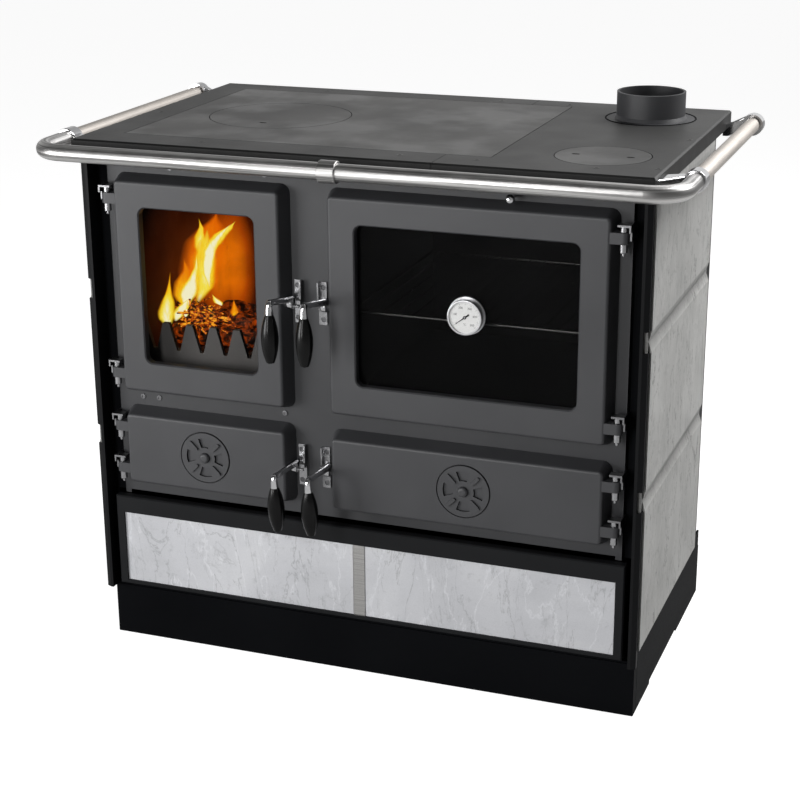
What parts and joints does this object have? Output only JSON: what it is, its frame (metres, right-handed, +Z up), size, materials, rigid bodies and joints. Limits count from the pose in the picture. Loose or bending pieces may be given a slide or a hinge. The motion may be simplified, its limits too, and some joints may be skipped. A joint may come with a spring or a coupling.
{
  "type": "wood cookstove",
  "caption": "Wood-burning cookstove with a glazed fire door, glazed oven door, air doors, stone-faced drawer, lift-off hob plates, flue spigot and towel rail.",
  "frame": {"origin": "on the floor, at the middle of the bounding box seen from above", "axes": "+Z up, front towards -Y, +X to the right seen from the front"},
  "size_m": [1.0324, 0.6317, 0.8935],
  "materials": {
    "cast_dark": "matte",
    "hob_iron": "matte",
    "steel_black": "matte",
    "soapstone": "satin",
    "stainless": "satin",
    "chrome": "polished",
    "beige_tube": "satin",
    "grip_black": "gloss",
    "door_glass": "gloss",
    "firebrick": "matte",
    "dial_white": "satin",
    "needle_dark": "satin"
  },
  "bodies": {
    "cabinet": {"plinth_front": "steel_black", "plinth_back": "steel_black", "plinth_sides": "steel_black", "base_tray": "steel_black", "deck_plate": "steel_black", "back_panel": "steel_black", "side_panels": "steel_black", "front_posts": "steel_black", "rear_posts": "steel_black", "right_stone_slabs": "soapstone", "left_stone_slabs": "soapstone", "front_plate": "cast_dark", "top_frame_left": "hob_iron", "top_frame_right": "hob_iron", "flue_spigot": "hob_iron", "hinge_brackets": "chrome", "hinge_pins": "chrome", "latch_keepers": "chrome", "drawer_runners": "steel_black", "rail_front_tube": "stainless", "rail_joint_sleeve": "stainless", "rail_side_tubes": "beige_tube", "rail_front_brackets": "chrome", "rail_rear_brackets": "chrome", "firebox_casing": "steel_black", "firebricks": "firebrick", "grate_frame": "hob_iron", "fire_grate": "hob_iron", "log_retainer": "hob_iron", "ash_pan": "steel_black", "oven_box": "steel_black", "oven_rack": "stainless", "storage_box": "steel_black"},
    "cooking_plate": {"cooking_plate": "hob_iron"},
    "big_lid": {"big_lid": "hob_iron"},
    "small_lid": {"small_lid": "hob_iron"},
    "fire_door": {"fire_door": "cast_dark", "fire_door_glass": "door_glass"},
    "fire_latch": {"fire_door_lever": "chrome", "fire_door_grip": "grip_black"},
    "ash_door": {"ash_door": "cast_dark"},
    "ash_latch": {"ash_door_lever": "chrome", "ash_door_grip": "grip_black"},
    "ash_rosette": {"ash_door_rosette": "cast_dark"},
    "oven_door": {"oven_door": "cast_dark", "oven_door_glass": "door_glass", "thermometer_body": "dial_white"},
    "oven_needle": {"thermometer_needle": "needle_dark"},
    "oven_latch": {"oven_door_lever": "chrome", "oven_door_grip": "grip_black"},
    "storage_door": {"storage_door": "cast_dark"},
    "storage_latch": {"storage_door_lever": "chrome", "storage_door_grip": "grip_black"},
    "storage_rosette": {"storage_door_rosette": "cast_dark"},
    "drawer": {"drawer_front": "cast_dark", "drawer_tiles": "soapstone", "drawer_divider": "stainless", "drawer_box": "steel_black"},
    "damper": {"damper_rod": "chrome", "damper_flap": "hob_iron"}
  },
  "joints": [
    {"name": "fire_door_hinge", "type": "hinge", "parent": "cabinet", "child": "fire_door", "pos_m": [-0.41, -0.22715, 0.6156], "axis": [0, 0, -1], "range_deg": [0, 110]},
    {"name": "ash_door_hinge", "type": "hinge", "parent": "cabinet", "child": "ash_door", "pos_m": [-0.41, -0.22715, 0.347], "axis": [0, 0, -1], "range_deg": [0, 110]},
    {"name": "oven_door_hinge", "type": "hinge", "parent": "cabinet", "child": "oven_door", "pos_m": [0.41, -0.22715, 0.6156], "axis": [0, 0, 1], "range_deg": [0, 110]},
    {"name": "storage_door_hinge", "type": "hinge", "parent": "cabinet", "child": "storage_door", "pos_m": [0.41, -0.22715, 0.347], "axis": [0, 0, 1], "range_deg": [0, 110]},
    {"name": "fire_latch_turn", "type": "hinge", "parent": "fire_door", "child": "fire_latch", "pos_m": [-0.1055, -0.22165, 0.614], "axis": [-1, 0, 0], "range_deg": [0, 38]},
    {"name": "ash_latch_turn", "type": "hinge", "parent": "ash_door", "child": "ash_latch", "pos_m": [-0.1055, -0.22165, 0.3465], "axis": [-1, 0, 0], "range_deg": [0, 38]},
    {"name": "oven_latch_turn", "type": "hinge", "parent": "oven_door", "child": "oven_latch", "pos_m": [-0.0495, -0.22165, 0.614], "axis": [-1, 0, 0], "range_deg": [0, 38]},
    {"name": "storage_latch_turn", "type": "hinge", "parent": "storage_door", "child": "storage_latch", "pos_m": [-0.0495, -0.22165, 0.3465], "axis": [-1, 0, 0], "range_deg": [0, 38]},
    {"name": "ash_rosette_turn", "type": "hinge", "parent": "ash_door", "child": "ash_rosette", "pos_m": [-0.25575, -0.23615, 0.347], "axis": [0, -1, 0], "range_deg": [0, 45]},
    {"name": "storage_rosette_turn", "type": "hinge", "parent": "storage_door", "child": "storage_rosette", "pos_m": [0.1775, -0.23615, 0.347], "axis": [0, -1, 0], "range_deg": [0, 45]},
    {"name": "needle_turn", "type": "hinge", "parent": "oven_door", "child": "oven_needle", "pos_m": [0.1775, -0.23615, 0.62075], "axis": [0, 1, 0], "range_deg": [-10, 250]},
    {"name": "drawer_slide", "type": "slide", "parent": "cabinet", "child": "drawer", "axis": [0, -1, 0], "range_m": [0, 0.35]},
    {"name": "damper_slide", "type": "slide", "parent": "cabinet", "child": "damper", "axis": [0, -1, 0], "range_m": [0, 0.07]},
    {"name": "cooking_plate_lift", "type": "slide", "parent": "cabinet", "child": "cooking_plate", "axis": [0, 0, 1], "range_m": [0, 0.08]},
    {"name": "big_lid_lift", "type": "slide", "parent": "cooking_plate", "child": "big_lid", "axis": [0, 0, 1], "range_m": [0, 0.06]},
    {"name": "small_lid_lift", "type": "slide", "parent": "cabinet", "child": "small_lid", "axis": [0, 0, 1], "range_m": [0, 0.06]}
  ]
}
